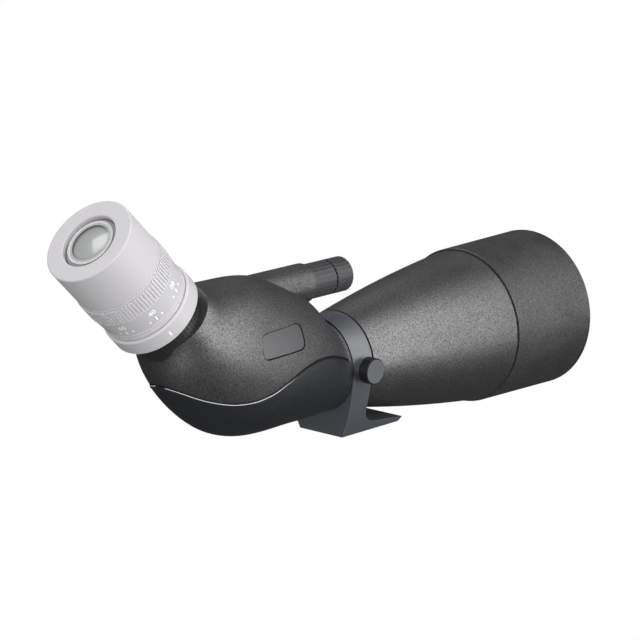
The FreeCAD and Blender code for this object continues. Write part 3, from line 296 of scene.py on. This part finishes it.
# Seam between the housing and its lower cover, seen from the side, in millimetres.
SEAM = [
    (-170.0, 63.5), (-158.0, 57.3), (-144.9, 49.2), (-129.5, 42.4), (-112.4, 39.4),
    (-97.0, 41.4), (-83.7, 46.9), (-67.9, 52.7), (-54.0, 53.9), (-38.0, 50.6),
    (-20.0, 43.0),
]
SEAM_REAR_X = -0.1487
SEAM_FRONT_X = -0.0285
RAY_START_Y = 0.2
# Pale bead painted as the highlight along the lower cover's edge.
BEAD_RADIUS = 0.27 * MM
BEAD_DROP = 0.25 * MM
# Dark lines painted as shade in the seam groove, round the name plate and behind the collar.
SEAM_SHADE_RISE = 0.55 * MM
SEAM_SHADE_RADIUS = 0.40 * MM
PLATE_SHADE_OFFSET = 0.25 * MM
PLATE_SHADE_RISE = 0.06 * MM
PLATE_SHADE_RADIUS = 0.32 * MM
COLLAR_SHADE_RADIUS = 0.0264
COLLAR_SHADE_THICKNESS = 0.42 * MM
COLLAR_SHADE_X = -0.0255
EYE_HIGHLIGHT_STEPS = 96
# White rings painted as highlights on the rims round the eye lens: radius, thickness and station along the
# eyepiece, in metres.
EYE_RIM_HIGHLIGHTS = [(0.01265, 0.00013, 0.0681), (0.01345, 0.00008, 0.0682)]


def add_piece(name, mesh, material, body):
    mesh.materials.append(material)
    piece = bpy.data.objects.new(name, mesh)
    bpy.context.scene.collection.objects.link(piece)
    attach(piece, body)
    return piece


def finished_mesh(made, name, smooth=False):
    """The mesh made from a bmesh, which is freed."""
    mesh = bpy.data.meshes.new(name)
    made.to_mesh(mesh)
    made.free()
    if smooth:
        mesh.polygons.foreach_set("use_smooth", [True] * len(mesh.polygons))
    return mesh


def join_loops(made, first, second):
    """A band of faces between two closed loops with as many points."""
    for side in range(len(first)):
        after = (side + 1) % len(first)
        made.faces.new((first[side], first[after], second[after], second[side]))


def tube_mesh(name, path, radius, sides=8):
    """A round bead swept along a list of points, closed at both ends."""
    made = bmesh.new()
    rings = []
    turns = [2 * math.pi * side / sides for side in range(sides)]
    for number, spot in enumerate(path):
        ahead = path[min(number + 1, len(path) - 1)]
        behind = path[max(number - 1, 0)]
        along = (ahead - behind).normalized()
        across = along.cross(Vector((0, 1, 0))).normalized()
        up = along.cross(across)
        rings.append([made.verts.new(spot + (across * math.cos(turn) + up * math.sin(turn))
                                     * radius) for turn in turns])
    for first, second in zip(rings, rings[1:]):
        join_loops(made, first, second)
    made.faces.new(rings[0][::-1])
    made.faces.new(rings[-1])
    bmesh.ops.recalc_face_normals(made, faces=made.faces)
    return finished_mesh(made, name, smooth=True)


def seam_line(steps=240):
    """Points along the seam at even steps of X, from a smooth curve through SEAM."""
    curve = bpy.data.curves.new("seam_guide", "CURVE")
    curve.dimensions = "3D"
    curve.resolution_u = 24
    spline = curve.splines.new("BEZIER")
    spline.bezier_points.add(len(SEAM) - 1)
    for point, (along, up) in zip(spline.bezier_points, SEAM):
        point.co = (along * MM, 0, up * MM)
        point.handle_left_type = point.handle_right_type = "AUTO"
    guide = bpy.data.objects.new("seam_guide", curve)
    bpy.context.scene.collection.objects.link(guide)
    bpy.context.view_layer.update()
    mesh = guide.to_mesh()
    spots = sorted((vertex.co.x, vertex.co.z) for vertex in mesh.vertices)
    guide.to_mesh_clear()
    bpy.data.objects.remove(guide)
    line = []
    for step in range(steps + 1):
        along = SEAM_REAR_X + (SEAM_FRONT_X - SEAM_REAR_X) * step / steps
        after = next(index for index, spot in enumerate(spots) if spot[0] >= along)
        (x0, z0), (x1, z1) = spots[after - 1], spots[after]
        share = (along - x0) / max(x1 - x0, 1e-9)
        line.append((along, z0 + (z1 - z0) * share))
    return line


def surface_path(node, line, side, lift):
    """The line dropped onto a node's outer face, seen square on from one side."""
    solid = bmesh.new()
    solid.from_mesh(nodes[node].data)
    tree = BVHTree.FromBMesh(solid)
    solid.free()
    path = []
    for along, up in line:
        start = Vector((along, side * RAY_START_Y, up + lift))
        spot = tree.ray_cast(start, Vector((0, -side, 0)))[0]
        if spot is not None and spot.y * side > 0:
            path.append(spot)
    return path


def add_seam_highlight_and_shade():
    """A pale bead on the lower cover's thin polished edge as a painted highlight, with a dark line above it
    as painted shade in the seam groove.
    """
    line = seam_line()
    for side, word in ((-1, "left"), (1, "right")):
        # Painted highlight: a pale bead along the cover's edge.
        edge = tube_mesh(f"seam_highlight_bead_{word}",
                         surface_path("lower_cover", line, side, -BEAD_DROP), BEAD_RADIUS)
        add_piece(f"seam_highlight_bead_{word}", edge, MATERIALS["painted_seam_highlight"], "scope")
        # Painted shade: a near-black line in the seam groove above the bead.
        joint = tube_mesh(f"seam_groove_shade_{word}",
                          surface_path("prism_housing", line, side, SEAM_SHADE_RISE),
                          SEAM_SHADE_RADIUS)
        add_piece(f"seam_groove_shade_{word}", joint, MATERIALS["painted_shade_line"], "scope")


def add_plate_groove_shade():
    """A dark line painted as shade in the groove round the name plate."""
    plate = nodes["name_plate"].data.vertices
    depths = {}
    for vertex in plate:
        corner = (round(vertex.co.x, 5), round(vertex.co.z, 5))
        depths[corner] = max(depths.get(corner, 0.0), abs(vertex.co.y))
    side = math.copysign(1.0, plate[0].co.y)
    corners = [Vector(corner) for corner in depths]
    faces = list(depths.values())
    centre = sum(corners, Vector((0, 0))) / len(corners)
    path = []
    for index in convex_hull_2d(corners):
        outward = (corners[index] - centre).normalized() * PLATE_SHADE_OFFSET
        spot = corners[index] + outward
        path.append(Vector((spot.x, side * (faces[index] + PLATE_SHADE_RISE), spot.y)))
    joint = tube_mesh("plate_groove_shade", path + path[:2], PLATE_SHADE_RADIUS)
    add_piece("plate_groove_shade", joint, MATERIALS["painted_shade_line"], "scope")


def ring_mesh(name, radius, thickness, steps=128, sides=8):
    """A thin round ring about the X axis."""
    made = bmesh.new()
    turns = [2 * math.pi * side / sides for side in range(sides)]
    loops = []
    for step in range(steps):
        around = 2 * math.pi * step / steps
        outward = Vector((0, math.cos(around), math.sin(around)))
        loops.append([made.verts.new(
            outward * (radius + thickness * math.cos(turn))
            + Vector((thickness * math.sin(turn), 0, 0))) for turn in turns])
    for first, second in zip(loops, loops[1:] + loops[:1]):
        join_loops(made, first, second)
    bmesh.ops.recalc_face_normals(made, faces=made.faces)
    return finished_mesh(made, name, smooth=True)


def add_collar_shade_and_eye_highlights():
    """A dark ring painted as shade behind the collar and two white rings painted as highlights round the eye
    lens.
    """
    axis_z = joints["collar_roll"]["pos_m"][2]
    # Painted shade: a near-black ring in the gap behind the collar.
    joint = ring_mesh("collar_gap_shade", COLLAR_SHADE_RADIUS, COLLAR_SHADE_THICKNESS)
    joint.transform(Matrix.Translation((COLLAR_SHADE_X, 0, axis_z)))
    add_piece("collar_gap_shade", joint, MATERIALS["painted_shade_line"], "scope")
    seat = Vector((0, 0, 1)).rotation_difference(eye_axis).to_matrix().to_4x4()
    flat = Matrix.Rotation(math.radians(90), 4, "Y")
    # Painted highlights: white rings on the rims round the eye lens.
    for number, (radius, thickness, station) in enumerate(EYE_RIM_HIGHLIGHTS, start=1):
        ring = ring_mesh(f"eye_rim_highlight_{number}", radius, thickness, EYE_HIGHLIGHT_STEPS)
        ring.transform(Matrix.Translation(eye_spot + eye_axis * station) @ seat @ flat)
        add_piece(f"eye_rim_highlight_{number}", ring, MATERIALS["scale_ink"], "scope")


# Zoom scale: magnification figures with a tick under each, at a turn round the eyepiece.
SCALE_FIGURES = [("60", -69.0), ("40", -27.0), ("20", 15.0)]
FIGURE_HEIGHT = 4.2 * MM
FIGURE_STATION = 0.0268
TICK_STATION = 0.0222
TICK_OFFSETS = (-9.0, 0.0, 9.0)
TICK_LENGTH = 2.8 * MM
TICK_WIDTH = 0.6 * MM
INDEX_STATION = 0.0090
INDEX_WIDTH = 0.7 * MM
INDEX_LENGTH = 3.0 * MM
INK_LIFT = 0.048 * MM
# Outline of the flange and the zoom ring: station along the eyepiece and radius, in metres.
RING_OUTLINE = [(0.0040, 0.0262), (0.0146, 0.0262), (0.0192, 0.0249), (0.0310, 0.0259)]
zoom = joints["zoom_turn"]
eye_spot = Vector(zoom["pos_m"])
eye_axis = Vector(zoom["axis"]).normalized()
eye_side = Vector((0, -1, 0))
eye_up = eye_axis.cross(eye_side)


def scale_radius(station):
    """Outer radius of the zoom ring's cone or the flange at a station."""
    for (s0, r0), (s1, r1) in zip(RING_OUTLINE, RING_OUTLINE[1:]):
        if station <= s1:
            return r0 + (r1 - r0) * max(station - s0, 0.0) / (s1 - s0)
    return RING_OUTLINE[-1][1]


def wrap(mesh, station, turn):
    """Roll a flat drawing, X round the eyepiece and Y along it, onto the ring."""
    for vertex in mesh.vertices:
        place = station + vertex.co.y
        radius = scale_radius(place) + INK_LIFT
        angle = math.radians(turn) + vertex.co.x / radius
        outward = eye_side * math.cos(angle) + eye_up * math.sin(angle)
        vertex.co = eye_spot + eye_axis * place + outward * radius
    mesh.update()
    return mesh


def figure_mesh(name, text):
    curve = bpy.data.curves.new(name, "FONT")
    curve.body = text
    curve.size = FIGURE_HEIGHT
    curve.align_x = "CENTER"
    curve.align_y = "CENTER"
    holder = bpy.data.objects.new(name + "_guide", curve)
    bpy.context.scene.collection.objects.link(holder)
    bpy.context.view_layer.update()
    flat = bmesh.new()
    flat.from_mesh(holder.to_mesh())
    bpy.data.objects.remove(holder)
    bmesh.ops.triangulate(flat, faces=flat.faces)
    bmesh.ops.subdivide_edges(flat, edges=flat.edges, cuts=1)
    return finished_mesh(flat, name)


def bar_mesh(name, width, height, cuts=4):
    flat = bmesh.new()
    bmesh.ops.create_grid(flat, x_segments=cuts, y_segments=cuts, size=0.5)
    for vertex in flat.verts:
        vertex.co.x *= width
        vertex.co.y *= height
    return finished_mesh(flat, name)


def add_zoom_scale():
    for number, (text, turn) in enumerate(SCALE_FIGURES, start=1):
        figure = wrap(figure_mesh(f"scale_figure_{number}", text), FIGURE_STATION, turn)
        add_piece(f"scale_figure_{number}", figure, MATERIALS["scale_ink"], "zoom_ring")
        for place, offset in enumerate(TICK_OFFSETS, start=1):
            name = f"scale_tick_{number}_{place}"
            length = TICK_LENGTH if offset == 0 else TICK_LENGTH / 2
            tick = wrap(bar_mesh(name, TICK_WIDTH, length), TICK_STATION, turn + offset)
            add_piece(name, tick, MATERIALS["scale_ink"], "zoom_ring")
    index = wrap(bar_mesh("zoom_index", INDEX_WIDTH, INDEX_LENGTH), INDEX_STATION,
                 SCALE_FIGURES[1][1])
    add_piece("zoom_index", index, MATERIALS["scale_ink"], "scope")


add_seam_highlight_and_shade()
add_collar_shade_and_eye_highlights()
add_plate_groove_shade()
add_zoom_scale()


# ------------------------------------------------------------------------ stage, camera

# Strength of the world for diffuse light and in reflections.
WORLD_FILL = 1.25
WORLD_SHEEN = 0.09
FLOOR_Z = -0.45
FLOOR_HALF_SIZE = 12.0
FLOOR_GREY = 0.2
FLOOR_IN_REFLECTIONS = 0.2
LAMP_TARGET = (-0.02, 0.0, 0.06)
LAMP_DISTANCE = 1.8
SENSOR_WIDTH = 36.0
FOCAL_LENGTH = 176.98
CAMERA_SPOT = (-1.2712, -1.1575, 0.4722)
CAMERA_TARGET = (-0.0236, 0.0, 0.0650)
CAMERA_ROLL = math.radians(-0.38)
# Soft boxes: compass turn, rise, size in metres and power in watts.
LAMPS = [
    (-62, 36, (0.7, 0.7), 7.2),
    (-62, 58, (0.6, 0.6), 5.5),
    (-64, 12, (0.6, 0.6), 4.8),
    (-68, -8, (0.7, 0.4), 4.6),
    (-88, 4, (0.6, 0.6), 5.4),
    (-100, 34, (0.5, 0.5), 2.6),
    (-112, 24, (0.6, 0.6), 5.4),
    (-155, 12, (0.8, 0.7), 4.0),
    (-160, -11, (0.5, 0.3), 8.5),
    (60, 55, (0.8, 0.8), 2.5),
    (122, 52, (0.5, 0.5), 3.0),
]


def make_floor():
    """White to the camera, grey to diffuse light and darker in reflections."""
    grid = bmesh.new()
    bmesh.ops.create_grid(grid, x_segments=2, y_segments=2, size=FLOOR_HALF_SIZE)
    mesh = finished_mesh(grid, "floor")
    floor = bpy.data.objects.new("floor", mesh)
    floor.location = (0, 0, FLOOR_Z)
    bpy.context.scene.collection.objects.link(floor)
    made = Surface("floor", (FLOOR_GREY, FLOOR_GREY, FLOOR_GREY), 0.9, 0.0)
    rays = made.node("ShaderNodeLightPath")
    made.vary_colour(rays.outputs["Is Glossy Ray"], 1.0, FLOOR_IN_REFLECTIONS)
    white = made.node("ShaderNodeEmission")
    white.inputs["Color"].default_value = (1, 1, 1, 1)
    mix = made.node("ShaderNodeMixShader")
    output = made.tree.nodes["Material Output"]
    made.link(rays.outputs["Is Camera Ray"], mix.inputs["Fac"])
    made.link(made.shader.outputs["BSDF"], mix.inputs[1])
    made.link(white.outputs["Emission"], mix.inputs[2])
    made.link(mix.outputs["Shader"], output.inputs["Surface"])
    mesh.materials.append(made.material)


def make_world():
    """White where the camera looks, an even fill elsewhere, dimmer in reflections."""
    world = bpy.data.worlds.new("world")
    world.use_nodes = True
    bpy.context.scene.world = world
    tree = world.node_tree
    tree.nodes.clear()
    path = tree.nodes.new("ShaderNodeLightPath")
    sheen = tree.nodes.new("ShaderNodeMath")
    sheen.operation = "MULTIPLY_ADD"
    sheen.inputs[1].default_value = WORLD_SHEEN - WORLD_FILL
    sheen.inputs[2].default_value = WORLD_FILL
    tree.links.new(path.outputs["Is Glossy Ray"], sheen.inputs[0])
    strength = tree.nodes.new("ShaderNodeMath")
    strength.operation = "MAXIMUM"
    tree.links.new(sheen.outputs[0], strength.inputs[0])
    tree.links.new(path.outputs["Is Camera Ray"], strength.inputs[1])
    back = tree.nodes.new("ShaderNodeBackground")
    back.inputs["Color"].default_value = (1, 1, 1, 1)
    output = tree.nodes.new("ShaderNodeOutputWorld")
    tree.links.new(strength.outputs[0], back.inputs["Strength"])
    tree.links.new(back.outputs["Background"], output.inputs["Surface"])


def aim(thing, spot, target, roll=0.0):
    toward = (Vector(target) - Vector(spot)).normalized()
    turn = toward.to_track_quat("-Z", "Y").to_matrix().to_4x4()
    thing.matrix_world = (Matrix.Translation(Vector(spot)) @ turn
                          @ Matrix.Rotation(roll, 4, "Z"))


def make_lamp(name, turn, rise, size, power):
    """A soft box seen from the target at a compass turn and a rise, in degrees."""
    turn, rise = math.radians(turn), math.radians(rise)
    toward = Vector((math.cos(turn) * math.cos(rise), math.sin(turn) * math.cos(rise),
                     math.sin(rise)))
    spot = Vector(LAMP_TARGET) + toward * LAMP_DISTANCE
    lamp = bpy.data.lights.new(name, "AREA")
    lamp.shape = "RECTANGLE"
    lamp.size, lamp.size_y = size
    lamp.energy = power
    holder = bpy.data.objects.new(name, lamp)
    bpy.context.scene.collection.objects.link(holder)
    aim(holder, spot, LAMP_TARGET)


def make_camera():
    data = bpy.data.cameras.new("camera")
    data.sensor_width = SENSOR_WIDTH
    data.lens = FOCAL_LENGTH
    data.clip_end = 100.0
    camera = bpy.data.objects.new("camera", data)
    bpy.context.scene.collection.objects.link(camera)
    aim(camera, CAMERA_SPOT, CAMERA_TARGET, CAMERA_ROLL)
    bpy.context.scene.camera = camera


make_floor()
make_world()
for number, (turn, rise, size, power) in enumerate(LAMPS, start=1):
    make_lamp(f"softbox_{number}", turn, rise, size, power)
make_camera()
bpy.context.scene.view_settings.view_transform = "Standard"
